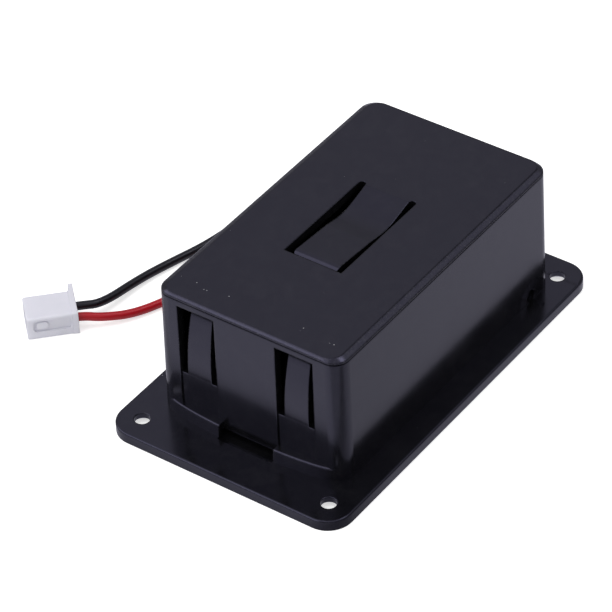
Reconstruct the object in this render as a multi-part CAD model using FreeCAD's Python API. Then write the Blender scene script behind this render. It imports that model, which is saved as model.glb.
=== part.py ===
import FreeCAD, Part
import math
import os

# Flush battery box for one nine volt block battery, in millimetres.
# The box stands on its mounting flange, as it lies on a bench: the flange's
# outer face is z = 0 and the closed end of the box is up. X runs along the
# box, with the latch at -X and the hinge and contacts at +X.

V = FreeCAD.Vector

# Battery that the box is made for
battery_length = 48.5
battery_width = 26.5
battery_height = 17.5
terminal_pitch = 12.95

# Battery tray
tray_fit = 0.2
tray_wall = 1.0
tray_end_wall = 1.2
tray_end_height = 6.2
tray_side_height = 9.5
tray_floor = 1.7
tray_recess = 0.15
tray_corner = 1.6
tray_side_gap = 0.4
tray_end_gap = 0.3
end_wall_lean = 1.5
lid_edge = 0.3

# Case walls
wall = 1.45
roof = 1.5
roof_space = 2.65
contact_space = 1.6
draft = 0.75
box_corner = 2.5
crease_drop = 0.47
side_bevel = 1.03
end_bevel = 0.37
crease_round = 0.15
crease_groove = 0.12
crease_groove_high = 0.16

# Mounting flange
near_margin = 8.1
far_margin = 5.2
side_margin = 4.1
flange_thick = 1.7
flange_corner = 4.0
flange_edge = 0.3
screw_hole = 2.4
screw_head = 4.0
screw_head_depth = 0.8
screw_inset_x = 4.0
screw_inset_y = 3.9

# Hinge of the tray
pivot_from_wall = 4.3
pivot_above_flange = 0.85
pivot_radius = 0.95
pivot_clearance = 0.05
pivot_short = 0.7
knuckle_gap = 0.2
knuckle_edge = 1.0
dish_radius = 2.9
dish_depth = 0.15
dish_above_flange = 0.25

# Spring tongues of roof and latch end lie a little off the middle line
spring_shift = 0.35

# Spring tongue in the roof
roof_slot_start = 15.7
roof_slot_length = 19.35
roof_slot_width = 9.95
roof_slit = 1.13
roof_tip_gap = 0.35
roof_valley_from_root = 5.6
roof_valley_drop = 1.42
roof_valley = 9.0
roof_crease_from_root = 9.9
roof_crease_drop = 0.8
roof_crease = 2.0
roof_tip_drop = 0.12
roof_bend = 3.0
roof_tip_roll = 1.2
roof_tip_round = 0.8
roof_tongue_thick = 1.3
roof_rib_radius = 2.4
roof_rib_bite = 0.15
roof_rib_width = 5.0

# Two spring tongues in the latch end
end_slot_width = 6.5
end_slot_spacing = 17.0
end_slot_foot = 9.6
end_slot_head = 21.8
end_slit = 1.1
end_tongue_thick = 1.1
end_tongue_bend = 38.5
end_tip_bend = 5.0
end_tip_bend_height = 2.0
end_tip_gap = 0.6
end_tip_taper = 0.25
end_pad_radius = 1.0
end_pad_bite = 0.3
panel_step = 0.25

# Finger recess and catch at the latch end
recess_ceiling = 2.4
recess_shell = 1.0
hood_height = 2.05
hood_reach = 1.65
hood_width = 29.0
hood_lean = 0.45
hood_edge = 0.25
notch_width = 9.6
ledge_overhang = 1.5
ledge_thick = 1.2
ledge_setback = 0.2
ridge_gap = 0.1
ridge_play = 0.2

# Contacts at the hinge end
leaf_width = 5.0
leaf_thick = 0.4
leaf_foot_low = 4.7
leaf_foot_high = 8.7
leaf_peak_reach = 2.6
leaf_tip_height = 16.0
rivet_height = 6.7
rivet_bore = 0.6
rivet_radius = 1.0
rivet_head_radius = 1.7
rivet_head_thick = 0.4
rivet_clearance = 0.05
tag_low = 4.6
tag_high = 11.4
tag_reach = 4.2
tag_bend = 0.5

# Leads and their plug
lead_diameter = 1.35
core_diameter = 0.6
solder_length = 2.4
solder_radius = 0.95
plug_pitch = 2.5
plug_width = 5.7
plug_height = 3.9
plug_length = 6.9
plug_collar = 0.9
plug_collar_rim = 0.12
plug_ear = 1.6
plug_wall = 0.65
plug_groove = 0.35
plug_groove_low = 1.3
plug_groove_high = 3.35
plug_boss_length = 1.9
plug_boss_height = 1.3
plug_at = (-16.2, 39.45)
plug_turn = 135.6

# Places that follow from the sizes above
slope = math.tan(math.radians(draft))
bay_length = tray_end_gap + tray_end_wall + tray_fit + battery_length + contact_space
bay_width = battery_width + 2 * (tray_fit + tray_wall + tray_side_gap)
case_height = tray_recess + tray_floor + battery_height + roof_space + roof
crease_z = case_height - crease_drop
ceiling_z = case_height - roof
box_length = bay_length + 2 * wall
box_width = bay_width + 2 * wall
flange_length = box_length + near_margin + far_margin
flange_width = box_width + 2 * side_margin
near_out = -flange_length / 2 + near_margin
far_out = flange_length / 2 - far_margin
near_in = near_out + wall
far_in = far_out - wall
box_mid = (near_out + far_out) / 2
roof_root_x = near_in + roof_slot_start + roof_slot_length - roof_slit / 2
screw_x = flange_length / 2 - screw_inset_x
screw_y = flange_width / 2 - screw_inset_y


def near_outer(z):
    """Outer face of the latch end wall at a height."""
    return near_out + slope * z


def far_outer(z):
    """Outer face of the hinge end wall at a height."""
    return far_out - slope * z


def far_inner(z):
    """Inner face of the hinge end wall at a height."""
    return far_in - slope * z


def box(x0, x1, y0, y1, z0, z1):
    return Part.makeBox(x1 - x0, y1 - y0, z1 - z0, V(x0, y0, z0))


def round_rect(x_mid, half_x, half_y, corner, z):
    """Closed outline of a rectangle with round corners, level at z."""
    r = min(corner, 0.95 * half_x, 0.95 * half_y)
    edges = []
    corners = [(1, 1, 0), (-1, 1, 90), (-1, -1, 180), (1, -1, 270)]
    ends = []
    for sx, sy, start in corners:
        mid = V(x_mid + sx * (half_x - r), sy * (half_y - r), z)
        a = [math.radians(start + turn) for turn in (0, 45, 90)]
        p = [mid + V(r * math.cos(t), r * math.sin(t), 0) for t in a]
        edges.append(Part.Arc(p[0], p[1], p[2]).toShape())
        ends.append((p[0], p[2]))
    sides = []
    for i in range(4):
        sides.append(Part.LineSegment(ends[i][1], ends[(i + 1) % 4][0]).toShape())
    ring = []
    for i in range(4):
        ring += [edges[i], sides[i]]
    return Part.Wire(ring)


def skin(*wires):
    """Solid with straight walls between outlines that lie one over the other."""
    return Part.makeLoft(list(wires), True, True)


def prism(points, direction):
    """Solid swept straight from a closed outline of points."""
    return Part.Face(Part.makePolygon(points + [points[0]])).extrude(direction)


def bent_outline(corners):
    """Closed outline in the XZ plane; each corner is (x, z, radius)."""
    count = len(corners)
    starts = []
    stops = []
    arcs = []
    for i in range(count):
        x, z, radius = corners[i]
        here = V(x, 0, z)
        before = V(corners[i - 1][0], 0, corners[i - 1][1]) - here
        after = V(corners[(i + 1) % count][0], 0, corners[(i + 1) % count][1]) - here
        before.normalize()
        after.normalize()
        turn = math.pi - before.getAngle(after)
        if radius <= 0 or turn < 1e-6:
            starts.append(here)
            stops.append(here)
            continue
        cut = radius * math.tan(turn / 2)
        middle = here + (before + after).normalize() * (radius / math.cos(turn / 2) - radius)
        starts.append(here + before * cut)
        stops.append(here + after * cut)
        arcs.append((i, Part.Arc(starts[i], middle, stops[i]).toShape()))
    edges = []
    curved = dict(arcs)
    for i in range(count):
        if i in curved:
            edges.append(curved[i])
        edges.append(Part.LineSegment(stops[i], starts[(i + 1) % count]).toShape())
    return Part.Wire(edges)


def strip(corners, y_mid, width):
    """Solid of one width across the box from an outline in the XZ plane."""
    solid = Part.Face(bent_outline(corners)).extrude(V(0, width, 0))
    solid.translate(V(0, y_mid - width / 2, 0))
    return solid


def rounded(solid, picker, radius):
    """Round the edges that the picker chooses."""
    chosen = [edge for edge in solid.Edges if picker(edge)]
    return solid.makeFillet(radius, chosen)


def along(edge, axis):
    """Whether a straight edge runs along an axis."""
    if len(edge.Vertexes) != 2 or not isinstance(edge.Curve, Part.Line):
        return False
    run = edge.Vertexes[1].Point - edge.Vertexes[0].Point
    return abs(run.normalize().dot(axis)) > 0.999


def level(edge, z):
    """Whether an edge lies level at z."""
    return abs(edge.BoundBox.ZMin - z) < 1e-4 and abs(edge.BoundBox.ZMax - z) < 1e-4


def save(name, shape):
    shape = shape.removeSplitter()
    if len(shape.Solids) == 1:
        shape = shape.Solids[0]
    shape.exportStep("parts/" + name + ".step")
    print(name, len(shape.Solids), "solid", round(shape.Volume, 2), "mm3", shape.isValid())
    return shape


# Hinge axis and the clear circle behind it
pivot_x = far_in - pivot_from_wall
pivot_z = flange_thick + pivot_above_flange
knuckle_radius = pivot_from_wall - slope * pivot_z - knuckle_gap

# Battery place and the height of its terminals
battery_near = near_in + tray_end_gap + tray_end_wall + tray_fit
battery_low = tray_recess + tray_floor
battery_top = battery_low + battery_height
terminal_z = battery_low + battery_height / 2


def make_box_shell():
    """Drafted box with a flat roof, bevelled rim and open foot."""
    out_x = box_length / 2
    out_y = box_width / 2
    rise = slope * crease_z
    foot = round_rect(box_mid, out_x, out_y, box_corner, 0)
    crease = round_rect(box_mid, out_x - rise, out_y - rise, box_corner, crease_z)
    rim_x = out_x - rise - end_bevel
    rim_y = out_y - rise - side_bevel
    rim = round_rect(box_mid, rim_x, rim_y, box_corner - end_bevel, case_height)
    outer = skin(foot, crease).fuse(skin(crease, rim))
    rise_in = slope * ceiling_z
    in_corner = box_corner - wall / 2
    low = round_rect(box_mid, bay_length / 2, bay_width / 2, in_corner, 0)
    high = round_rect(box_mid, bay_length / 2 - rise_in, bay_width / 2 - rise_in, in_corner, ceiling_z)
    return outer, skin(low, high)


def make_crease_groove():
    """Fine groove round the walls, just under the bevelled rim."""
    high = crease_z - crease_round
    low = high - crease_groove_high
    inset = slope * low + crease_groove
    core = round_rect(box_mid, box_length / 2 - inset, box_width / 2 - inset, box_corner, low)
    band = round_rect(box_mid, box_length / 2 + 1, box_width / 2 + 1, box_corner, low)
    up = V(0, 0, crease_groove_high)
    return Part.Face(band).extrude(up).cut(Part.Face(core).extrude(up))


def make_flange():
    """Mounting plate with round corners and four screw holes."""
    outline = round_rect(0, flange_length / 2, flange_width / 2, flange_corner, 0)
    plate = Part.Face(outline).extrude(V(0, 0, flange_thick))
    plate = rounded(plate, lambda e: level(e, flange_thick), flange_edge)
    flare = (screw_head - screw_hole) / 2
    for sx in (-1, 1):
        for sy in (-1, 1):
            at = V(sx * screw_x, sy * screw_y, 0)
            hole = Part.makeCylinder(screw_hole / 2, flange_thick, at)
            sink = Part.makeCone(screw_hole / 2 + flare, screw_hole / 2, screw_head_depth, at)
            plate = plate.cut(hole.fuse(sink))
    return plate


def half_moon(width, reach, z):
    """Oval that stands out of the latch end wall by its reach, and is as wide where they meet."""
    sunk = wall / 2
    deep = reach + sunk
    oval = Part.Ellipse(V(near_out + sunk, 0, z), width / 2 / math.sqrt(1 - (sunk / deep) ** 2), deep)
    oval.XAxis = V(0, 1, 0)
    return Part.Wire(oval.toShape())


def make_hood():
    """Half-moon hood over the finger recess, at the foot of the latch end."""
    top_z = flange_thick + hood_height
    base = half_moon(hood_width, hood_reach, 0)
    crown = half_moon(hood_width - 2 * hood_lean, hood_reach - hood_lean, top_z)
    front = box(near_out - 2 * hood_reach, near_out + wall / 4, -hood_width, hood_width, 0, top_z)
    hood = skin(base, crown).common(front)
    return rounded(hood, lambda e: level(e, top_z) and e.BoundBox.XMin < near_out, hood_edge)


def make_recess():
    """Hollow under the hood, for a finger nail behind the lid's edge."""
    width = hood_width - 2 * recess_shell
    reach = max(hood_reach - recess_shell, 0.1)
    oval = Part.Face(half_moon(width, reach, 0)).extrude(V(0, 0, recess_ceiling))
    room = box(near_out - reach, near_out, -width / 2, width / 2, 0, recess_ceiling)
    slab = box(near_out, near_in + 0.5, -width / 2, width / 2, 0, recess_ceiling)
    return oval.common(room).fuse(slab)


def make_end_tongue(y_mid):
    """Spring tongue of the latch end: rooted low, bent in towards its free tip."""
    half = end_slot_width / 2 - end_slit
    root_z = end_slot_foot + 0.5
    tip_z = end_slot_head - end_tip_gap
    bend_z = tip_z - end_tip_bend_height
    x_face = near_outer(root_z) + panel_step
    turn = math.asin((bend_z - root_z) / end_tongue_bend)
    centre = V(x_face + end_tongue_bend, 0, root_z)
    inward = V(math.cos(turn), 0, -math.sin(turn))
    tip_centre = centre - inward * (end_tongue_bend - end_tip_bend)
    tip_turn = math.asin((tip_z - tip_centre.z) / end_tip_bend)

    def on_arc(middle, radius, angle):
        return middle + V(-radius * math.cos(angle), 0, radius * math.sin(angle))

    def arc(middle, radius, first, last):
        ends = [on_arc(middle, radius, a) for a in (first, (first + last) / 2, last)]
        return Part.Arc(ends[0], ends[1], ends[2]).toShape()

    t = end_tongue_thick
    low = end_slot_foot - 2.0
    foot = [V(x_face, 0, low), V(x_face + t, 0, low)]
    edges = [
        Part.LineSegment(foot[0], on_arc(centre, end_tongue_bend, 0)).toShape(),
        arc(centre, end_tongue_bend, 0, turn),
        arc(tip_centre, end_tip_bend, turn, tip_turn),
        Part.LineSegment(on_arc(tip_centre, end_tip_bend, tip_turn),
                         on_arc(tip_centre, end_tip_bend - t, tip_turn)).toShape(),
        arc(tip_centre, end_tip_bend - t, tip_turn, turn),
        arc(centre, end_tongue_bend - t, turn, 0),
        Part.LineSegment(on_arc(centre, end_tongue_bend - t, 0), foot[1]).toShape(),
        Part.LineSegment(foot[1], foot[0]).toShape(),
    ]
    side = Part.Face(Part.Wire(edges)).extrude(V(0, 2 * half, 0))
    side.translate(V(0, y_mid - half, 0))
    # front view of the tongue: slightly narrower at the tip, corners rounded
    tip_half = half - end_tip_taper
    front = prism([
        V(near_out - 1, y_mid - half, low), V(near_out - 1, y_mid + half, low),
        V(near_out - 1, y_mid + tip_half, tip_z), V(near_out - 1, y_mid - tip_half, tip_z),
    ], V(wall + 6, 0, 0))
    front = rounded(front, lambda e: along(e, V(1, 0, 0)) and e.BoundBox.ZMin > tip_z - 0.1, 0.6)
    tongue = side.common(front)
    # pad on the inner face that bears on the end of the battery
    pad_z = bend_z
    face_x = on_arc(centre, end_tongue_bend - t, turn).x
    pad_x = battery_near + end_pad_bite - end_pad_radius
    pad = Part.makeCylinder(end_pad_radius, 2 * tip_half - 1, V(pad_x, y_mid - tip_half + 0.5, pad_z), V(0, 1, 0))
    pad = pad.common(box(face_x - 0.3, pad_x + 2 * end_pad_radius, -bay_width, bay_width, 0, case_height))
    return tongue.fuse(pad)


def make_roof_tongue():
    """Spring tongue of the roof: dips from its root, rises again and rolls down at its tip."""
    half = roof_slot_width / 2 - roof_slit
    root = roof_root_x
    tip = near_in + roof_slot_start + roof_tip_gap
    t = roof_tongue_thick
    high = case_height
    valley = (root - roof_valley_from_root, high - roof_valley_drop)
    crease = (root - roof_crease_from_root, high - roof_crease_drop)
    lip = high - roof_tip_drop
    tongue = strip([
        (root + 1, high, 0), (root, high, roof_bend), (valley[0], valley[1], roof_valley),
        (crease[0], crease[1], roof_crease), (tip, lip, roof_tip_roll), (tip, lip - t, 0),
        (crease[0], crease[1] - t, roof_crease), (valley[0], valley[1] - t, roof_valley),
        (root, high - t, roof_bend), (root + 1, high - t, 0),
    ], spring_shift, 2 * half)
    # plan view of the tongue: round corners at the tip
    plan = box(tip, root + 1, spring_shift - half, spring_shift + half, valley[1] - 2 * t, high + 1)
    plan = rounded(plan, lambda e: along(e, V(0, 0, 1)) and abs(e.BoundBox.XMax - tip) < 1e-4, roof_tip_round)
    tongue = tongue.common(plan)
    # rib under the valley that bears on the battery
    rib_z = battery_top - roof_rib_bite + roof_rib_radius
    rib_y = spring_shift - roof_rib_width / 2
    rib = Part.makeCylinder(roof_rib_radius, roof_rib_width, V(valley[0], rib_y, rib_z), V(0, 1, 0))
    under = valley[1] - t + 0.5
    reach = roof_rib_radius + 1
    rib = rib.common(box(valley[0] - reach, valley[0] + reach, rib_y - 1, rib_y + roof_rib_width + 1, 0, under))
    return tongue.fuse(rib)


def make_case():
    outer, bay = make_box_shell()
    crease_edges = [e for e in outer.Edges if level(e, crease_z) or level(e, case_height)]
    outer = outer.makeFillet(crease_round, crease_edges)
    outer = outer.cut(make_crease_groove())
    # shallow dish round each hinge hole
    dish_ball = (dish_radius ** 2 + dish_depth ** 2) / (2 * dish_depth)
    wall_y = box_width / 2 - slope * pivot_z
    above = box(pivot_x - 2 * dish_radius, pivot_x + 2 * dish_radius, -box_width, box_width,
                flange_thick + dish_above_flange, case_height)
    for side in (-1, 1):
        at = V(pivot_x, side * (wall_y - dish_depth + dish_ball), pivot_z)
        outer = outer.cut(Part.makeSphere(dish_ball, at).common(above))
    body = make_flange().fuse(outer).fuse(make_hood())
    body = body.cut(bay).cut(make_recess())
    # catch ledge across the middle of the recess, at the flange's outer face
    ledge_half = notch_width / 2 + ledge_overhang
    ledge = box(near_out - hood_reach, near_in - ledge_setback, -ledge_half, ledge_half, 0, ledge_thick)
    body = body.fuse(ledge)
    # notch through the hood above the ledge
    top_z = flange_thick + hood_height
    notch = box(near_out - 2 * hood_reach, near_outer(top_z), -notch_width / 2, notch_width / 2,
                flange_thick, top_z + 0.1)
    pit = box(near_out - hood_reach, near_in + 0.5, -notch_width / 2, notch_width / 2,
              ledge_thick, recess_ceiling)
    body = body.cut(notch).cut(pit)
    # latch end: two slots, stepped panels under them, tongues in them
    for side in (-1, 1):
        y_mid = spring_shift + side * end_slot_spacing / 2
        y0 = y_mid - end_slot_width / 2
        y1 = y_mid + end_slot_width / 2
        slot = box(near_out - 1, near_in + 2, y0, y1, end_slot_foot, end_slot_head)
        panel = prism([
            V(near_out - 1, y0, top_z), V(near_outer(top_z) + panel_step, y0, top_z),
            V(near_outer(end_slot_foot) + panel_step, y0, end_slot_foot + 0.1),
            V(near_out - 1, y0, end_slot_foot + 0.1),
        ], V(0, end_slot_width, 0))
        body = body.cut(slot).cut(panel).fuse(make_end_tongue(y_mid))
    # roof: one slot with the tongue in it; its two slits end round
    x0 = near_in + roof_slot_start
    deep = 3 * roof
    half = roof_slot_width / 2
    roof_slot = box(x0, roof_root_x, spring_shift - half, spring_shift + half, case_height - deep, case_height + 1)
    for side in (-1, 1):
        end = V(roof_root_x, spring_shift + side * (half - roof_slit / 2), case_height - deep)
        roof_slot = roof_slot.fuse(Part.makeCylinder(roof_slit / 2, deep + 1, end))
    body = body.cut(roof_slot).fuse(make_roof_tongue())
    # hinge holes through both side walls
    bore = Part.makeCylinder(pivot_radius + pivot_clearance, box_width + 4,
                             V(pivot_x, -box_width / 2 - 2, pivot_z), V(0, 1, 0))
    body = body.cut(bore)
    # flat seats for the contacts on both faces of the hinge end wall, and rivet holes
    for side in (-1, 1):
        y_mid = side * terminal_pitch / 2
        half = leaf_width / 2 + 0.1
        inside = box(far_in - 1, far_in, y_mid - half, y_mid + half, leaf_foot_low - 0.1, leaf_tip_height)
        outside = box(far_outer(tag_high), far_out + 1, y_mid - half, y_mid + half, tag_low - 0.1, tag_high)
        hole = Part.makeCylinder(rivet_radius + rivet_clearance, wall + 4,
                                 V(far_in - 2, y_mid, rivet_height), V(1, 0, 0))
        body = body.cut(inside).cut(outside).cut(hole)
    return body


def make_tray():
    """Lid, side walls, end wall and pivots of the battery tray, one moulding."""
    half = battery_width / 2 + tray_fit + tray_wall
    lid_near = near_in + tray_end_gap
    low = tray_recess
    high = low + tray_floor
    end_top = high + tray_end_height
    side_top = high + tray_side_height
    back = pivot_x + knuckle_radius
    # plan outline of the whole tray, round at its four corners
    outline = Part.Face(round_rect((lid_near + back) / 2, (back - lid_near) / 2, half, tray_corner, low))
    plan = outline.extrude(V(0, 0, side_top))
    # behind the hinge axis nothing stands out of a drum round that axis
    drum = Part.makeCylinder(knuckle_radius, 2 * half, V(pivot_x, -half, pivot_z), V(0, 1, 0))
    drum = rounded(drum, lambda e: abs(e.BoundBox.YLength) < 1e-4, knuckle_edge)
    ahead = box(lid_near - 1, pivot_x, -half - 1, half + 1, low - 1, side_top + 1)
    above = box(pivot_x - 1, back, -half - 1, half + 1, pivot_z, side_top + 1)
    clear = drum.fuse(ahead)
    lid = outline.extrude(V(0, 0, tray_floor))
    tray = rounded(lid, lambda e: level(e, low), lid_edge).common(clear)
    # side walls, lower at the latch end and round at the hinge end
    ramp = side_top - end_top
    ear = knuckle_radius - 0.3
    for side in (-1, 1):
        y0 = half - tray_wall if side > 0 else -half
        plate = prism([
            V(lid_near, y0, high - 0.5), V(pivot_x + ear, y0, high - 0.5), V(pivot_x + ear, y0, side_top),
            V(lid_near + 4 * ramp, y0, side_top), V(lid_near + 1.5 * ramp, y0, end_top), V(lid_near, y0, end_top),
        ], V(0, tray_wall, 0))
        plate = rounded(plate, lambda e: along(e, V(0, 1, 0)) and e.BoundBox.ZMin > end_top + 0.1
                        and e.BoundBox.Center.x > pivot_x, 2.0)
        plate = rounded(plate, lambda e: along(e, V(0, 1, 0)) and e.BoundBox.ZMin > end_top + 0.1
                        and e.BoundBox.Center.x < pivot_x, 4.0)
        tray = tray.fuse(plate.common(plan).common(clear.fuse(above)))
        # pivot that turns in the side wall of the case
        reach = box_width / 2 - slope * pivot_z - half - pivot_short
        start = V(pivot_x, half - 0.2 if side > 0 else -half + 0.2, pivot_z)
        pin = Part.makeCylinder(pivot_radius, reach + 0.2, start, V(0, side, 0))
        pin = rounded(pin, lambda e: abs(e.BoundBox.Center.y) > half + reach / 2
                      and abs(e.BoundBox.YLength) < 1e-4, 0.2)
        tray = tray.fuse(pin)
    # end wall, leaning in so that it swings clear of the case
    lean = math.tan(math.radians(end_wall_lean)) * tray_end_height
    x0 = lid_near
    end = prism([
        V(x0, -half, high - 0.5), V(x0 + tray_end_wall, -half, high - 0.5),
        V(x0 + tray_end_wall, -half, end_top), V(x0 + lean, -half, end_top),
        V(x0, -half, high),
    ], V(0, 2 * half, 0))
    before = prism([
        V(x0 - 1, -half, high), V(x0, -half, high), V(x0 + lean, -half, end_top),
        V(x0 + lean, -half, end_top + 1), V(x0 - 1, -half, end_top + 1),
    ], V(0, 2 * half, 0))
    tray = tray.fuse(end.common(plan)).cut(before)
    # ridge that sits in the notch, under the foot of the latch end wall
    reach = tray_end_gap + ledge_setback - ridge_gap
    ridge_low = ledge_thick + ridge_play
    ridge_high = recess_ceiling - ridge_play / 2
    nose = (ridge_high - ridge_low) / 3
    ridge_half = notch_width / 2 - ridge_play
    ridge = prism([
        V(x0 + 0.4, -ridge_half, ridge_low - nose / 2), V(x0, -ridge_half, ridge_low),
        V(x0 - reach, -ridge_half, ridge_low + nose), V(x0 - reach, -ridge_half, ridge_high - nose),
        V(x0, -ridge_half, ridge_high), V(x0 + 0.4, -ridge_half, ridge_high),
    ], V(0, 2 * ridge_half, 0))
    return tray.fuse(ridge)


def make_leaf(y_mid):
    """Contact leaf: foot riveted to the wall, then a bow towards the battery."""
    t = leaf_thick
    x0 = far_in
    peak_x = x0 - leaf_peak_reach
    peak_z = terminal_z + 0.6
    tip_x = x0 - t - 0.7
    tip_z = leaf_tip_height - 0.6
    up = math.atan2(peak_z - leaf_foot_high, x0 - t - peak_x)
    back = math.atan2(tip_z - peak_z, tip_x - peak_x)
    knee_shift = t * math.tan((math.pi / 2 - up) / 2)
    solid = strip([
        (x0 - t, leaf_foot_low, 0), (x0 - t, leaf_foot_high, 0.8), (peak_x, peak_z, 1.2 + t),
        (tip_x, tip_z, 0), (tip_x + t * math.sin(back), tip_z - t * math.cos(back), 0),
        (peak_x + t / math.sin((up + back) / 2), peak_z, 1.2), (x0, leaf_foot_high + knee_shift, 0.8 + t),
        (x0, leaf_foot_low, 0),
    ], y_mid, leaf_width)
    hole = Part.makeCylinder(rivet_radius + rivet_clearance, 3, V(x0 - 1.5, y_mid, rivet_height), V(1, 0, 0))
    return solid.cut(hole)


def make_tag(y_mid):
    """Solder tag on the outside of the wall, with a lug for the lead."""
    t = leaf_thick
    x0 = far_outer(tag_high)
    width = leaf_width - 1
    upright = box(x0, x0 + t, y_mid - width / 2, y_mid + width / 2, tag_low, tag_high)
    lug = box(x0, x0 + tag_reach, y_mid - width / 2, y_mid + width / 2, tag_high - t, tag_high)
    tag = upright.fuse(lug).removeSplitter()
    tag = rounded(tag, lambda e: along(e, V(0, 1, 0)) and abs(e.BoundBox.Center.x - x0) < 1e-3
                  and abs(e.BoundBox.Center.z - tag_high) < 1e-3, tag_bend)
    tag = rounded(tag, lambda e: along(e, V(0, 0, 1)) and abs(e.BoundBox.Center.x - x0 - tag_reach) < 1e-3,
                  width / 4)
    hole = Part.makeCylinder(rivet_radius + rivet_clearance, 3, V(x0 - 1, y_mid, rivet_height), V(1, 0, 0))
    return tag.cut(hole)


def make_rivet(y_mid):
    """Tubular rivet through leaf, wall and tag."""
    x_in = far_in - leaf_thick
    x_out = far_outer(tag_high) + leaf_thick
    ahead = V(1, 0, 0)
    shank = Part.makeCylinder(rivet_radius, x_out - x_in, V(x_in, y_mid, rivet_height), ahead)
    inner = Part.makeCylinder(rivet_head_radius, rivet_head_thick,
                              V(x_in - rivet_head_thick, y_mid, rivet_height), ahead)
    outer = Part.makeCylinder(rivet_head_radius, rivet_head_thick, V(x_out, y_mid, rivet_height), ahead)
    inner = rounded(inner, lambda e: abs(e.BoundBox.XMax - x_in + rivet_head_thick) < 1e-4, 0.2)
    outer = rounded(outer, lambda e: abs(e.BoundBox.XMin - x_out - rivet_head_thick) < 1e-4, 0.2)
    bore = Part.makeCylinder(rivet_bore, x_out - x_in + 2, V(x_in, y_mid, rivet_height), ahead)
    return shank.fuse(inner).fuse(outer).cut(bore)


# Places of the leads: each leaves its solder tag along +X
lug_x = far_outer(tag_high) + tag_reach
lead_z = tag_high + lead_diameter / 2
lead_x = lug_x - 0.3
floor_z = lead_diameter / 2


def plug_point(along_plug, across_plug, z):
    """Point given along the plug from its lead end, and across it."""
    a = math.radians(plug_turn)
    u = V(math.cos(a), math.sin(a), 0)
    w = V(-math.sin(a), math.cos(a), 0)
    return V(plug_at[0], plug_at[1], z) + u * along_plug + w * across_plug


plug_axis_z = plug_height / 2
cell = plug_pitch - plug_wall
lead_inset = 1.7


def route(points):
    """Straight runs joined by arcs as large as the shorter run beside them allows."""
    edges = []
    last = points[0]
    radii = []
    length = 0
    for i in range(1, len(points) - 1):
        a = points[i - 1] - points[i]
        b = points[i + 1] - points[i]
        turn = math.pi - a.getAngle(b)
        short = min(a.Length, b.Length)
        radius = 0.45 * short / math.tan(turn / 2)
        cut = 0.45 * short
        a.normalize()
        b.normalize()
        p0 = points[i] + a * cut
        p1 = points[i] + b * cut
        bisector = (a + b).normalize()
        middle = points[i] + bisector * (radius / math.cos(turn / 2) - radius)
        edges.append(Part.LineSegment(last, p0).toShape())
        edges.append(Part.Arc(p0, middle, p1).toShape())
        length += (p0 - last).Length + radius * turn
        radii.append(round(radius, 1))
        last = p1
    edges.append(Part.LineSegment(last, points[-1]).toShape())
    length += (points[-1] - last).Length
    return Part.Wire(edges), radii, length


def make_lead(name, points):
    """Round lead swept along its route."""
    path, radii, length = route(points)
    start = points[0]
    ring = Part.Wire(Part.makeCircle(lead_diameter / 2, start, (points[1] - start).normalize()))
    lead = path.makePipeShell([ring], True, False)
    section = math.pi * lead_diameter ** 2 / 4
    print(name, "radii", radii, "length", round(length, 1), "volume ratio",
          round(lead.Volume / (section * length), 4))
    return lead


black_points = [
    V(lead_x, -terminal_pitch / 2, lead_z),
    V(lead_x + 4.6, -terminal_pitch / 2, lead_z),
    V(43.0, -3.4, 7.6),
    V(46.6, 4.8, 2.6),
    V(46.2, 14.6, floor_z),
    V(39.4, 24.4, floor_z),
    V(29.6, 29.6, floor_z),
    V(18.6, 32.3, floor_z),
    V(9.4, 33.2, floor_z),
    V(1.0, 35.9, floor_z),
    V(-4.22, 37.1, 0.85),
    V(-12.3, 37.62, 1.65),
    plug_point(-0.8, -plug_pitch / 2, plug_axis_z),
    plug_point(lead_inset, -plug_pitch / 2, plug_axis_z),
]
red_points = [
    V(lead_x, terminal_pitch / 2, lead_z),
    V(lead_x + 4.6, terminal_pitch / 2, lead_z),
    V(41.4, 10.6, 8.6),
    V(41.6, 16.2, 3.8),
    V(36.4, 21.6, 0.8),
    V(29.0, 24.8, floor_z),
    V(20.0, 24.4, floor_z),
    V(10.4, 26.8, floor_z),
    V(1.2, 28.1, floor_z),
    V(-4.8, 30.2, floor_z),
    V(-10.91, 32.74, 0.8),
    V(-14.86, 35.9, 1.45),
    plug_point(-0.8, plug_pitch / 2, plug_axis_z),
    plug_point(lead_inset, plug_pitch / 2, plug_axis_z),
]


def make_solder(y_mid):
    """Solder fillet over the bared end of the lead on its lug."""
    x_end = lead_x
    ball = Part.makeSphere(solder_radius)
    stretch = FreeCAD.Matrix()
    stretch.scale(V(solder_length / 2 / solder_radius, 1.2, 1.0))
    blob = ball.transformGeometry(stretch)
    blob.translate(V(x_end - solder_length / 2, y_mid, tag_high + 0.3))
    blob = blob.common(box(x_end - 2 * solder_length, x_end, -50, 50, tag_high, tag_high + 5))
    return blob


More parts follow.
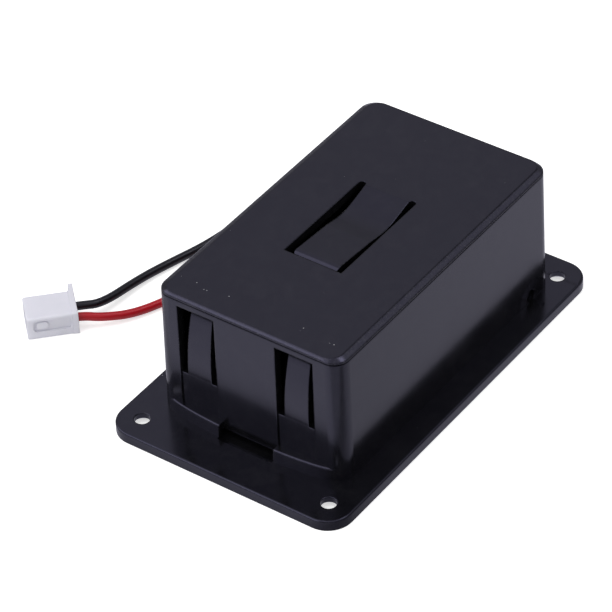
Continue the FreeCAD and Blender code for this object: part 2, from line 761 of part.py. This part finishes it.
def make_plug():
    """Two-way crimp housing: body, collar at the lead end, cells for the terminals."""
    long = plug_length + plug_collar
    body = box(0, long, -plug_width / 2, plug_width / 2, 0, plug_height)
    body = rounded(body, lambda e: along(e, V(1, 0, 0)), 0.3)
    body = rounded(body, lambda e: abs(e.BoundBox.XMin - long) < 1e-3, 0.25)
    rim = plug_collar_rim
    collar = box(0, plug_collar, -plug_width / 2 - rim, plug_width / 2 + rim, 0, plug_height + rim)
    ear = box(0, plug_collar * 0.75, -plug_width / 2 - plug_ear, -plug_width / 2, plug_height * 0.35,
              plug_height + rim)
    collar = collar.fuse(ear).removeSplitter()
    collar = rounded(collar, lambda e: along(e, V(1, 0, 0)), 0.3)
    plug = body.fuse(collar)
    for side in (-1, 1):
        y_mid = side * plug_pitch / 2
        room = box(-1, long + 1, y_mid - cell / 2, y_mid + cell / 2,
                   plug_axis_z - cell / 2, plug_axis_z + cell / 2)
        window = box(plug_collar + 1.6, plug_collar + 3.8, y_mid - cell / 2 + 0.3, y_mid + cell / 2 - 0.3,
                     -1, plug_axis_z)
        plug = plug.cut(room).cut(window)
        # groove in the side, with a flat boss near the mouth
        face = side * plug_width / 2
        y0, y1 = sorted((face - side * plug_groove, face + side))
        groove = box(plug_collar + 0.2, long - 1.0, y0, y1, plug_groove_low, plug_groove_high)
        groove = rounded(groove, lambda e: along(e, V(0, 1, 0)), 0.6)
        y0, y1 = sorted((face - side * plug_groove * 1.5, face - side * 0.08))
        boss_x = long - 1.4 - plug_boss_length
        boss_z = (plug_groove_low + plug_groove_high - plug_boss_height) / 2
        boss = box(boss_x, boss_x + plug_boss_length, y0, y1, boss_z, boss_z + plug_boss_height)
        boss = rounded(boss, lambda e: along(e, V(0, 1, 0)), plug_boss_height * 0.45)
        boss = rounded(boss, lambda e: abs(e.BoundBox.Center.y - face + side * 0.08) < 1e-3, 0.15)
        plug = plug.cut(groove).fuse(boss)
    return place_on_plug(plug)


def place_on_plug(shape):
    """Turn and move a shape drawn along X from the lead end to the plug's place."""
    shape.rotate(V(0, 0, 0), V(0, 0, 1), plug_turn)
    shape.translate(V(plug_at[0], plug_at[1], 0))
    return shape


def make_terminal(side):
    """Crimp terminal in its cell: barrel on the lead, box spring towards the mouth."""
    y_mid = side * plug_pitch / 2
    gap = 0.1
    half = cell / 2 - gap
    start = lead_inset
    barrel = Part.makeCylinder(lead_diameter / 2 + 0.15, 1.6, V(start, y_mid, plug_axis_z), V(1, 0, 0))
    core = box(start + 1.4, start + 2.6, y_mid - core_diameter / 2, y_mid + core_diameter / 2,
               plug_axis_z - core_diameter / 2, plug_axis_z + core_diameter / 2)
    socket = box(start + 2.4, plug_length + plug_collar - 0.6, y_mid - half, y_mid + half,
                 plug_axis_z - half, plug_axis_z + half)
    mouth = box(start + 3.4, plug_length + plug_collar, y_mid - half + 0.2, y_mid + half - 0.2,
                plug_axis_z - half + 0.2, plug_axis_z + half - 0.2)
    return place_on_plug(barrel.fuse(core).fuse(socket).cut(mouth))


os.makedirs("parts", exist_ok=True)
save("case", make_case())
save("battery_tray", make_tray())
for name, side in (("positive", 1), ("negative", -1)):
    y = side * terminal_pitch / 2
    save("contact_" + name, make_leaf(y))
    save("solder_tag_" + name, make_tag(y))
    save("rivet_" + name, make_rivet(y))
    save("solder_" + name, make_solder(y))
save("lead_red", make_lead("red lead", red_points))
save("lead_black", make_lead("black lead", black_points))
save("plug_housing", make_plug())
save("terminal_red", make_terminal(1))
save("terminal_black", make_terminal(-1))
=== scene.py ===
import bpy
import math
import numpy as np
from mathutils import Matrix, Vector


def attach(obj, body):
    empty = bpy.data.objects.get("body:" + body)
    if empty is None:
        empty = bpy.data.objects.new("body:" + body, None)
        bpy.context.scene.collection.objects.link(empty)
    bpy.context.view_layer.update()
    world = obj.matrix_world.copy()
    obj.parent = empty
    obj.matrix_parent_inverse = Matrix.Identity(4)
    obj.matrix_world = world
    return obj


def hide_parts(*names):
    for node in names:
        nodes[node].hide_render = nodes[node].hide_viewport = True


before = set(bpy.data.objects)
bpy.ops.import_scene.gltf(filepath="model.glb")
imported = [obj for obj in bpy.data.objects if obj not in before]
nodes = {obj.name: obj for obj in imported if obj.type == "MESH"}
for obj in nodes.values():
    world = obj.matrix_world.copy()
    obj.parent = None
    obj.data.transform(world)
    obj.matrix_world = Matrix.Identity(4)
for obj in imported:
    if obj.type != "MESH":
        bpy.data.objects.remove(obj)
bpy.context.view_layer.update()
print("frame loaded,", len(nodes), "nodes")

# the photograph's view: a long lens, looking down on the near corner of the box
viewpoint = {
    "place": (-0.3259, -0.2383, 0.3422),  # metres, in the part's frame
    "heading": 37.14,                     # degrees from +X towards +Y
    "down": 39.47,
    "roll": -2.80,
    "focalPixels": 3573.6,                # for a picture of this width
    "pictureWidth": 612,
    "sensor": 36.0,
    "nearest": 0.02,
    "farthest": 20,
}


def addCamera(v):
    # axes: forward from heading and down, right = forward x up, then both turned by the roll
    heading, down, roll = (math.radians(v[k]) for k in ("heading", "down", "roll"))
    level = math.cos(down)
    forward = Vector((math.cos(heading) * level, math.sin(heading) * level, -math.sin(down)))
    right = forward.cross(Vector((0, 0, 1))).normalized()
    below = forward.cross(right)
    across = math.cos(roll) * right - math.sin(roll) * below
    lower = math.sin(roll) * right + math.cos(roll) * below
    data = bpy.data.cameras.new("viewCamera")
    data.sensor_width = v["sensor"]
    data.sensor_fit = "HORIZONTAL"
    data.lens = v["focalPixels"] / v["pictureWidth"] * v["sensor"]
    data.clip_start = v["nearest"]
    data.clip_end = v["farthest"]
    camera = bpy.data.objects.new("viewCamera", data)
    turn = Matrix((across, -lower, -forward)).transposed().to_4x4()
    camera.matrix_world = Matrix.Translation(v["place"]) @ turn
    bpy.context.scene.collection.objects.link(camera)
    bpy.context.scene.camera = camera


addCamera(viewpoint)
print("camera placed")

# the two leads: points along the middle of each, from its solder tag to the plug
leads = {
    "diameter": 0.00135,
    "roundness": 6,
    "stepsPerPoint": 14,
    "black": [
        (0.03255, -0.00647, 0.01208), (0.03715, -0.00647, 0.01208), (0.04300, -0.00340, 0.00760),
        (0.04660, 0.00480, 0.00260), (0.04620, 0.01460, 0.00068), (0.03940, 0.02440, 0.00068),
        (0.02960, 0.02960, 0.00068), (0.01860, 0.03230, 0.00068), (0.00940, 0.03320, 0.00068),
        (0.00100, 0.03590, 0.00068), (-0.00422, 0.03710, 0.00085), (-0.01230, 0.03762, 0.00165),
        (-0.01475, 0.03978, 0.00195), (-0.01654, 0.04153, 0.00195),
    ],
    "red": [
        (0.03255, 0.00647, 0.01208), (0.03715, 0.00647, 0.01208), (0.04140, 0.01060, 0.00860),
        (0.04160, 0.01620, 0.00380), (0.03640, 0.02160, 0.00080), (0.02900, 0.02480, 0.00068),
        (0.02000, 0.02440, 0.00068), (0.01040, 0.02680, 0.00068), (0.00120, 0.02810, 0.00068),
        (-0.00480, 0.03020, 0.00068), (-0.01091, 0.03274, 0.00080), (-0.01486, 0.03590, 0.00145),
        (-0.01650, 0.03800, 0.00195), (-0.01829, 0.03975, 0.00195),
    ],
}


def drawLead(name, points):
    # a round tube along a smooth curve that starts and ends at the end points
    curve = bpy.data.curves.new(name, "CURVE")
    curve.dimensions = "3D"
    spline = curve.splines.new("NURBS")
    spline.points.add(len(points) - 1)
    placed = np.ones((len(points), 4))
    placed[:, :3] = points
    spline.points.foreach_set("co", placed.ravel())
    # the points hold the tube's radius, because Blender counts it in the curve's box
    spline.points.foreach_set("radius", np.full(len(points), leads["diameter"] / 2))
    spline.order_u = 3
    spline.use_endpoint_u = True
    curve.resolution_u = leads["stepsPerPoint"]
    curve.bevel_depth = 1.0
    curve.bevel_resolution = leads["roundness"]
    curve.use_fill_caps = True
    lead = bpy.data.objects.new(name, curve)
    bpy.context.scene.collection.objects.link(lead)
    return lead


leadRed = drawLead("leadRed", leads["red"])
leadBlack = drawLead("leadBlack", leads["black"])
for lead, node in ((leadRed, "lead_red"), (leadBlack, "lead_black")):
    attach(lead, "case")
    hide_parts(node)
print("leads drawn")


# building blocks of the finishes
def startMaterial(name):
    material = bpy.data.materials.new(name)
    material.use_nodes = True
    tree = material.node_tree
    surface = tree.nodes["Principled BSDF"]
    place = tree.nodes.new("ShaderNodeTexCoord").outputs["Object"]
    return material, tree, surface, place


def feed(tree, socket, value):
    # a socket is linked, a number or colour is set
    if isinstance(value, bpy.types.NodeSocket):
        tree.links.new(value, socket)
    else:
        socket.default_value = value


def setInputs(tree, node, **inputs):
    # inputs go by their names with the spaces taken out
    for key, value in inputs.items():
        socket = next(s for s in node.inputs if s.name.replace(" ", "") == key and s.enabled)
        feed(tree, socket, value)


def addNode(tree, kind, **inputs):
    node = tree.nodes.new("ShaderNode" + kind)
    setInputs(tree, node, **inputs)
    return node


noiseRange = (0.3, 0.7)  # nearly all of a noise lies between these


def addNoise(tree, place, scale, detail, rough=0.5, bent=0.0):
    node = addNode(tree, "TexNoise", Vector=place, Scale=scale, Detail=detail,
                   Roughness=rough, Distortion=bent)
    return node.outputs[0]


def addBump(tree, height, strength, depth, **more):
    return addNode(tree, "Bump", Strength=strength, Distance=depth, Height=height, **more).outputs[0]


def splitAxes(tree, vector):
    return addNode(tree, "SeparateXYZ", Vector=vector).outputs[:]


def spread(tree, value, low, high, toLow, toHigh):
    # straight-line change of range, held at both ends
    node = addNode(tree, "MapRange", Value=value, FromMin=low, FromMax=high, ToMin=toLow, ToMax=toHigh)
    return node.outputs["Result"]


def fade(tree, value, nothing, full):
    # 0 where the value is at or before nothing, 1 where it is at or past full
    return spread(tree, value, nothing, full, 0, 1)


def calculate(tree, what, *values):
    # works the values together from the first to the last
    result = values[0]
    for value in values[1:]:
        node = tree.nodes.new("ShaderNodeMath")
        node.operation = what
        feed(tree, node.inputs[0], result)
        feed(tree, node.inputs[1], value)
        result = node.outputs[0]
    return result


def multiply(tree, *values):
    return calculate(tree, "MULTIPLY", *values)


def addUp(tree, *values):
    return calculate(tree, "ADD", *values)


def awayFrom(tree, value, middle):
    # how far the value is from the middle, on either side
    return calculate(tree, "ABSOLUTE", calculate(tree, "SUBTRACT", value, middle), 0.0)


mixSockets = {"RGBA": (6, 7, 2), "VECTOR": (4, 5, 1)}  # a Mix node's two inputs and its output


def blend(tree, share, first, second, kind="RGBA"):
    node = tree.nodes.new("ShaderNodeMix")
    node.data_type = kind
    firstInput, secondInput, output = mixSockets[kind]
    feed(tree, node.inputs[0], share)
    feed(tree, node.inputs[firstInput], first)
    feed(tree, node.inputs[secondInput], second)
    return node.outputs[output]


def addPatches(tree, level, axes, patches):
    # each patch adds its amount, faded in past every side that it names
    for amount, *sides in patches.values():
        for axis, nothing, full in sides:
            amount = multiply(tree, amount, fade(tree, axes["xyz".index(axis)], nothing, full))
        level = addUp(tree, level, amount)
    return level


# rounded look of the moulding's outer edges; inner corners stay sharp
edges = {
    "radius": 0.0003,
    "rimRadius": 0.00045,       # of the roof's outer rim
    "bevelSamples": 8,
    "shelterReach": 0.0012,     # how far off a wall still shelters an inner corner
    "shelterSamples": 6,
    "openness": (0.78, 0.96),   # inner corners up to the first, outer edges from the second
    "turned": (0.98, 0.86),     # cosine between flat and rounded, where rub begins and is full
}


def softenEdges(tree, rimZone):
    flat = tree.nodes.new("ShaderNodeNewGeometry").outputs["Normal"]
    wider = multiply(tree, rimZone, edges["rimRadius"] - edges["radius"])
    rounded = addNode(tree, "Bevel", Radius=addUp(tree, edges["radius"], wider))
    rounded.samples = edges["bevelSamples"]
    shelter = addNode(tree, "AmbientOcclusion", Distance=edges["shelterReach"])
    shelter.samples = edges["shelterSamples"]
    outer = fade(tree, shelter.outputs["AO"], *edges["openness"])
    normal = blend(tree, outer, flat, rounded.outputs[0], "VECTOR")
    turned = tree.nodes.new("ShaderNodeVectorMath")
    turned.operation = "DOT_PRODUCT"
    feed(tree, turned.inputs[0], flat)
    feed(tree, turned.inputs[1], rounded.outputs[0])
    return normal, multiply(tree, fade(tree, turned.outputs["Value"], *edges["turned"]), outer)


# the roof's bevelled rim, scuffed all over
rim = {
    "from": 0.0222,                 # it lies above this height
    "middle": 0.00145,              # the roof's middle along x
    "inner": (0.0257, 0.0140),      # it lies outside this half length or half width
    "slope": (0.3, 0.955),          # by how far its faces look up
    "speckle": (0.48, 0.66),        # scuff noise where specks begin and are full
    "rub": 0.22,
}


def findRim(tree, x, y, z):
    outside = calculate(tree, "MAXIMUM",
                        calculate(tree, "GREATER_THAN", awayFrom(tree, x, rim["middle"]), rim["inner"][0]),
                        calculate(tree, "GREATER_THAN", awayFrom(tree, y, 0.0), rim["inner"][1]))
    return multiply(tree, outside, calculate(tree, "GREATER_THAN", z, rim["from"]))


# rub on edges and rim, in broken spots; a noise is its scale, detail, roughness and bend
wearMarks = {
    "colour": (0.080, 0.080, 0.078, 1),
    "scuffs": (2600, 6, 0.75),
    "share": (0.46, 0.66),     # scuff noise where spots begin and are full
    "patches": (0.45, 0.62),   # and the broad patches that they keep to
    "rougher": 0.25,
}


def rubEdges(tree, place, clouds, rub, rimZone, up):
    scuffs = addNoise(tree, place, *wearMarks["scuffs"])
    patches = fade(tree, clouds, *wearMarks["patches"])
    spots = multiply(tree, rub, fade(tree, scuffs, *wearMarks["share"]), patches)
    sloped = multiply(tree, calculate(tree, "GREATER_THAN", up, rim["slope"][0]),
                      calculate(tree, "LESS_THAN", up, rim["slope"][1]))
    speckle = multiply(tree, spread(tree, scuffs, *rim["speckle"], 0, rim["rub"]), sloped, rimZone)
    return calculate(tree, "MAXIMUM", spots, speckle)


# dust on faces that look up: small uneven grains, thickest along one loose line
dust = {
    "colour": (0.50, 0.50, 0.52, 1),
    "scale": 1400,             # cells per metre, of which only a few show their grain
    "share": 0.45,             # how much a grain covers
    "luck": (0.985, 1.20),     # grains show from the first and are largest at the second
    "extraLuck": 0.22,         # added on the line
    "size": (0.05, 0.24),      # share of a grain's cell
    "line": -0.0205,           # its x, before it strays towards the latch end
    "stray": 0.002,
    "halfWidth": 0.0016,
    "lookingUp": (0.85, 0.95),
    "rougher": 0.5,
}


def scatterDust(tree, place, x, wave, up):
    offLine = awayFrom(tree, addUp(tree, x, multiply(tree, wave, dust["stray"])), dust["line"])
    onLine = fade(tree, offLine, dust["halfWidth"], 0)
    cells = addNode(tree, "TexVoronoi", Vector=place, Scale=dust["scale"], Randomness=1)
    chance = addNode(tree, "SeparateColor", Color=cells.outputs["Color"]).outputs[0]
    luck = addUp(tree, chance, multiply(tree, onLine, dust["extraLuck"]))
    shows = calculate(tree, "GREATER_THAN", luck, dust["luck"][0])
    size = multiply(tree, spread(tree, luck, *dust["luck"], *dust["size"]), shows)
    grains = calculate(tree, "LESS_THAN", cells.outputs["Distance"], size)
    return multiply(tree, grains, fade(tree, up, *dust["lookingUp"]), dust["share"])


# fine rippled line in the flange, where the plastic closed round the far screw hole
flowLine = {
    "x": 0.0298,
    "halfWidth": (0.00010, 0.00026),  # full up to the first, nothing from the second
    "rippleLength": 0.0003,
    "rippleDepth": 0.000026,
    "below": 0.0018,           # on the flange only
    "beside": -0.0130,         # from here to the flange's edge
}


def rippleFlowLine(tree, x, y, z):
    turn = multiply(tree, y, 2 * math.pi / flowLine["rippleLength"])
    ripple = multiply(tree, calculate(tree, "SINE", turn, 0.0), flowLine["rippleDepth"])
    offLine = awayFrom(tree, x, flowLine["x"])
    return multiply(tree, spread(tree, offLine, *flowLine["halfWidth"], 1, 0), ripple,
                    calculate(tree, "LESS_THAN", z, flowLine["below"]),
                    calculate(tree, "LESS_THAN", y, flowLine["beside"]))


moulding = {
    "colour": (0.0028, 0.0028, 0.0034, 1),
    "paleColour": (0.0046, 0.0045, 0.0056, 1),
    "hazeColour": (0.0091, 0.0090, 0.0101, 1),  # faint pale clouds on the walls
    "mist": (420, 6, 0.7, 0.6),
    "haze": (0.42, 0.70),      # mist where the haze begins and is full
    "hazePatches": (0.35, 0.65, 0.2, 1),        # clouds from and to, share of haze from and to
    "gleam": (0.76, 0.75, 1.0, 1),              # tint of what it reflects
    "refraction": 1.58,        # index
    "rough": (0.16, 0.22),
    "clouds": (160, 5, 0.6),   # broad patches of gloss
    "grain": (5200, 3),        # skin of the tool, about 0.2 mm
    "grainDepth": 0.0000012,
    "wave": (90, 1),           # slight unevenness of a moulded wall
    "waveDepth": 0.0000025,
}


def makeMoulding(m):
    material, tree, surface, place = startMaterial("blackMoulding")
    x, y, z = splitAxes(tree, place)
    up = splitAxes(tree, tree.nodes.new("ShaderNodeNewGeometry").outputs["Normal"])[2]
    clouds, grain, wave, mist = (addNoise(tree, place, *m[k]) for k in ("clouds", "grain", "wave", "mist"))
    rimZone = findRim(tree, x, y, z)
    normal, rub = softenEdges(tree, rimZone)
    rubbed = rubEdges(tree, place, clouds, rub, rimZone, up)
    dusty = scatterDust(tree, place, x, wave, up)
    haze = multiply(tree, fade(tree, mist, *m["haze"]), spread(tree, clouds, *m["hazePatches"]))
    colour = blend(tree, clouds, m["colour"], m["paleColour"])
    colour = blend(tree, haze, colour, m["hazeColour"])
    colour = blend(tree, rubbed, colour, wearMarks["colour"])
    colour = blend(tree, dusty, colour, dust["colour"])
    rough = addUp(tree, spread(tree, clouds, *noiseRange, *m["rough"]),
                  multiply(tree, dusty, dust["rougher"]), multiply(tree, rubbed, wearMarks["rougher"]))
    relief = addUp(tree, multiply(tree, grain, m["grainDepth"]), multiply(tree, wave, m["waveDepth"]),
                   rippleFlowLine(tree, x, y, z))
    raised = addBump(tree, relief, 1.0, 1.0, Normal=normal)  # the relief is in metres already
    setInputs(tree, surface, BaseColor=colour, Roughness=rough, Normal=raised,
              IOR=m["refraction"], SpecularTint=m["gleam"])
    return material


insulation = {
    "red": (0.50, 0.007, 0.015, 1),
    "black": (0.0075, 0.0075, 0.0100, 1),
    "darker": 0.8,             # share of the colour that is left in its deeper patches
    "rough": (0.25, 0.38),
    "patches": (350, 3),
    "skin": (3000, 2),
    "skinBump": (0.6, 0.000004),  # strength and depth
}


def makeInsulation(name, colour):
    material, tree, surface, place = startMaterial(name)
    patches = addNoise(tree, place, *insulation["patches"])
    skin = addNoise(tree, place, *insulation["skin"])
    darker = tuple(insulation["darker"] * part for part in colour[:3]) + (1,)
    setInputs(tree, surface, BaseColor=blend(tree, patches, colour, darker),
              Roughness=spread(tree, patches, *noiseRange, *insulation["rough"]),
              Normal=addBump(tree, skin, *insulation["skinBump"]))
    return material


nylon = {
    "colour": (0.80, 0.79, 0.87, 1),
    "deepColour": (0.73, 0.73, 0.81, 1),
    "rough": (0.32, 0.44),
    "glow": 0.35,              # share of light that goes in and comes out again
    "glowReach": 0.0008,
    "edgeRadius": 0.00018,
    "milk": (420, 4),
    "grain": (4000, 2),
    "grainBump": (0.8, 0.000003),
}


def makeNylon(n):
    material, tree, surface, place = startMaterial("plugNylon")
    milk = addNoise(tree, place, *n["milk"])
    grain = addNoise(tree, place, *n["grain"])
    rounded = addNode(tree, "Bevel", Radius=n["edgeRadius"]).outputs[0]
    setInputs(tree, surface, BaseColor=blend(tree, milk, n["colour"], n["deepColour"]),
              Roughness=spread(tree, milk, *noiseRange, *n["rough"]),
              Normal=addBump(tree, grain, *n["grainBump"], Normal=rounded),
              SubsurfaceWeight=n["glow"], SubsurfaceRadius=(1, 1, 1), SubsurfaceScale=n["glowReach"])
    return material


metals = {
    # darker colour, lighter colour, roughness at its least and most
    "nickelStrip": ((0.60, 0.58, 0.54, 1), (0.68, 0.67, 0.64, 1), (0.18, 0.34)),
    "tinnedStrip": ((0.62, 0.61, 0.58, 1), (0.72, 0.71, 0.69, 1), (0.24, 0.40)),
    "rivetBrass": ((0.66, 0.50, 0.25, 1), (0.74, 0.60, 0.34, 1), (0.20, 0.36)),
    "solderJoint": ((0.52, 0.53, 0.54, 1), (0.66, 0.67, 0.68, 1), (0.16, 0.32)),
}
metalSkin = {
    "stretch": (300, 300, 6000),  # scales along the axes, for fine lines that run level
    "lines": (1, 4),
    "lineBump": (0.5, 0.000003),
    "stain": (700, 4),
}


def makeMetal(name, dark, light, rough):
    material, tree, surface, place = startMaterial(name)
    stretched = addNode(tree, "Mapping", Vector=place, Scale=metalSkin["stretch"]).outputs[0]
    lines = addNoise(tree, stretched, *metalSkin["lines"])
    stain = addNoise(tree, place, *metalSkin["stain"])
    setInputs(tree, surface, BaseColor=blend(tree, stain, dark, light), Metallic=1.0,
              Roughness=spread(tree, lines, *noiseRange, *rough),
              Normal=addBump(tree, lines, *metalSkin["lineBump"]))
    return material


finishes = {name: makeMetal(name, *values) for name, values in metals.items()}
finishes["blackMoulding"] = makeMoulding(moulding)
finishes["redInsulation"] = makeInsulation("redInsulation", insulation["red"])
finishes["blackInsulation"] = makeInsulation("blackInsulation", insulation["black"])
finishes["plugNylon"] = makeNylon(nylon)

finishOfNode = {
    "case": "blackMoulding", "battery_tray": "blackMoulding",
    "contact_positive": "nickelStrip", "contact_negative": "nickelStrip",
    "solder_tag_positive": "tinnedStrip", "solder_tag_negative": "tinnedStrip",
    "rivet_positive": "rivetBrass", "rivet_negative": "rivetBrass",
    "solder_positive": "solderJoint", "solder_negative": "solderJoint",
    "plug_housing": "plugNylon", "terminal_red": "tinnedStrip", "terminal_black": "tinnedStrip",
}


def wear(piece, finish):
    piece.data.materials.clear()
    piece.data.materials.append(finishes[finish])


for name, finish in finishOfNode.items():
    wear(nodes[name], finish)
wear(leadRed, "redInsulation")
wear(leadBlack, "blackInsulation")
print("finishes made:", ", ".join(sorted(finishes)))

mirrorTint = (0.87, 0.855, 1.0, 1)  # cool white that reflections see in the table and the air

# white table; reflections see it at its own levels, with painted light and a painted shadow laid on them
table = {
    "half": 3.0,
    "drop": 0.00002,           # below the flange
    "colour": (0.86, 0.86, 0.86, 1),
    "lift": 0.60,              # glow added for the camera
    "mirrorLevel": 0.56,       # as reflections see it beside the box
    "mirrorPatches": {
        # what each adds to that, then its sides: axis, where it is nothing, where it is full
        # painted reflection: the table is lighter beyond the latch end and towards the hinge end, with a
        # painted shadow before the near corner
        "beyondLatchEnd": (0.32, ("x", -0.034, -0.038)),
        "towardsHingeEnd": (0.14, ("x", -0.01, 0.05)),
        "beforeNearCorner": (-0.30, ("x", -0.020, -0.030), ("y", -0.013, -0.020)),
    },
}


def mixShaders(tree, share, first, second):
    node = tree.nodes.new("ShaderNodeMixShader")
    for socket, value in zip(node.inputs, (share, first, second)):
        tree.links.new(value, socket)
    return node.outputs[0]


def layTable(t):
    h = t["half"]
    mesh = bpy.data.meshes.new("table")
    mesh.from_pydata([(-h, -h, 0), (h, -h, 0), (h, h, 0), (-h, h, 0)], [], [(0, 1, 2, 3)])
    thing = bpy.data.objects.new("table", mesh)
    bpy.context.scene.collection.objects.link(thing)
    thing.location.z = -t["drop"]
    material = bpy.data.materials.new("tablePaper")
    material.use_nodes = True
    tree = material.node_tree
    tree.nodes.clear()
    path = tree.nodes.new("ShaderNodeLightPath").outputs
    axes = splitAxes(tree, tree.nodes.new("ShaderNodeTexCoord").outputs["Object"])
    paper = addNode(tree, "BsdfDiffuse", Color=t["colour"])
    lift = addNode(tree, "Emission", Color=(1, 1, 1, 1),
                   Strength=multiply(tree, path["Is Camera Ray"], t["lift"]))
    lifted = tree.nodes.new("ShaderNodeAddShader")
    tree.links.new(paper.outputs[0], lifted.inputs[0])
    tree.links.new(lift.outputs[0], lifted.inputs[1])
    # reflections see the table with its painted light and painted shadow
    mirroredPaintedLight = addNode(tree, "Emission", Color=mirrorTint,
                       Strength=addPatches(tree, t["mirrorLevel"], axes, t["mirrorPatches"]))
    sheet = mixShaders(tree, path["Is Glossy Ray"], lifted.outputs[0], mirroredPaintedLight.outputs[0])
    # the camera sees through it from below, to the tray's side of the object
    back = tree.nodes.new("ShaderNodeNewGeometry").outputs["Backfacing"]
    clear = tree.nodes.new("ShaderNodeBsdfTransparent").outputs[0]
    sheet = mixShaders(tree, multiply(tree, back, path["Is Camera Ray"]), sheet, clear)
    out = tree.nodes.new("ShaderNodeOutputMaterial")
    tree.links.new(sheet, out.inputs["Surface"])
    mesh.materials.append(material)


# the air lights the object evenly and is white for the camera; reflections see it painted
# by direction: x towards the hinge end, -y to the viewer's right and z up, each from -1 to 1
air = {
    "level": 0.45,             # all round, as light on the object
    "mirrorLevel": 0.20,       # near the horizon, as reflections see it
    "mirrorRise": {
        # what each adds to that, then its sides: axis, where it is nothing, where it is full
        "middle": (0.345, ("z", 0.25, 0.65)),
        "top": (0.175, ("z", 0.65, 1.0)),
    },
    "darkRoom": {
        # behind the viewer and low down
        "share": 0.78,
        "x": (0.2, -0.2),
        "y": (-0.2, -0.45),
        "z": (0.6, 0.2),
    },
    "mirrorPatches": {
        # the same, laid over that; a negative amount is a darker place
        "softBox": (1.56, ("x", 0.05, -0.15), ("y", -0.05, 0.15), ("z", 0.27, 0.34), ("z", 0.60, 0.52)),
        "softBoxGlow": (0.84, ("x", 0.05, -0.15), ("y", -0.05, 0.15), ("z", 0.27, 0.34)),
        "sideLight": (0.22, ("x", 0.30, 0.45), ("z", 0.50, 0.62), ("y", -0.04, -0.14)),
        "sideDark": (-0.66, ("x", 0.30, 0.45), ("z", 0.50, 0.62), ("y", -0.34, -0.42)),
        "darkGap": (-0.52, ("x", 0.30, 0.45), ("z", 0.50, 0.62), ("y", -0.06, 0.02), ("y", 0.35, 0.27)),
    },
    "spot": {
        # small lamp over the near corner
        "level": 3.0,
        "towards": (0.33, -0.20, 0.92),
        "edge": (0.16, 0.10),  # distance on a unit sphere where it is nothing and full
    },
}


def paintSky(tree, a):
    towards = tree.nodes.new("ShaderNodeTexCoord").outputs["Generated"]
    axes = splitAxes(tree, towards)
    sky = addPatches(tree, a["mirrorLevel"], axes, a["mirrorRise"])
    room = a["darkRoom"]
    behind = calculate(tree, "MAXIMUM", fade(tree, axes[0], *room["x"]), fade(tree, axes[1], *room["y"]))
    darkened = multiply(tree, behind, fade(tree, axes[2], *room["z"]), room["share"])
    sky = multiply(tree, sky, calculate(tree, "SUBTRACT", 1.0, darkened))
    sky = addPatches(tree, sky, axes, a["mirrorPatches"])
    apart = tree.nodes.new("ShaderNodeVectorMath")
    apart.operation = "DISTANCE"
    feed(tree, apart.inputs[0], towards)
    feed(tree, apart.inputs[1], a["spot"]["towards"])
    spot = fade(tree, apart.outputs["Value"], *a["spot"]["edge"])
    return addUp(tree, sky, multiply(tree, spot, a["spot"]["level"]))


def setWorld(a):
    world = bpy.data.worlds.new("studioAir")
    bpy.context.scene.world = world
    world.use_nodes = True
    tree = world.node_tree
    tree.nodes.clear()
    path = tree.nodes.new("ShaderNodeLightPath").outputs
    camera, glossy = path["Is Camera Ray"], path["Is Glossy Ray"]
    # 1 where the camera, a reflection or a view through something looks straight at it
    seen = calculate(tree, "MAXIMUM", camera, glossy, path["Is Transmission Ray"])
    reflected = multiply(tree, calculate(tree, "SUBTRACT", seen, camera), paintSky(tree, a))
    lighting = multiply(tree, calculate(tree, "SUBTRACT", 1.0, seen), a["level"])
    tint = blend(tree, glossy, (1, 1, 1, 1), mirrorTint)
    glow = addNode(tree, "Background", Color=tint, Strength=addUp(tree, reflected, camera, lighting))
    out = tree.nodes.new("ShaderNodeOutputWorld")
    tree.links.new(glow.outputs[0], out.inputs["Surface"])


# soft lamps that reflections don't see: place, aimed at, width, height, watts
lamps = {
    "overheadFill": ((-0.10, 0.25, 0.80), (0.0, 0.0, 0.0), 0.7, 0.7, 3.6),
    "rightFill": ((-0.15, -0.70, 0.40), (0.0, 0.0, 0.01), 0.5, 0.4, 1.2),
    "leftFill": ((-0.75, 0.15, 0.40), (0.0, 0.0, 0.01), 0.5, 0.4, 1.2),
}


def hangLamp(name, place, aim, width, height, watts):
    data = bpy.data.lights.new(name, "AREA")
    data.shape = "RECTANGLE"
    data.size = width
    data.size_y = height
    data.energy = watts
    lamp = bpy.data.objects.new(name, data)
    lamp.location = place
    lamp.visible_glossy = False
    lamp.rotation_euler = (Vector(aim) - Vector(place)).to_track_quat("-Z", "Y").to_euler()
    bpy.context.scene.collection.objects.link(lamp)


layTable(table)
setWorld(air)
for name, values in lamps.items():
    hangLamp(name, *values)
bpy.context.scene.view_settings.view_transform = "Standard"
print("table, surroundings and lamps set")
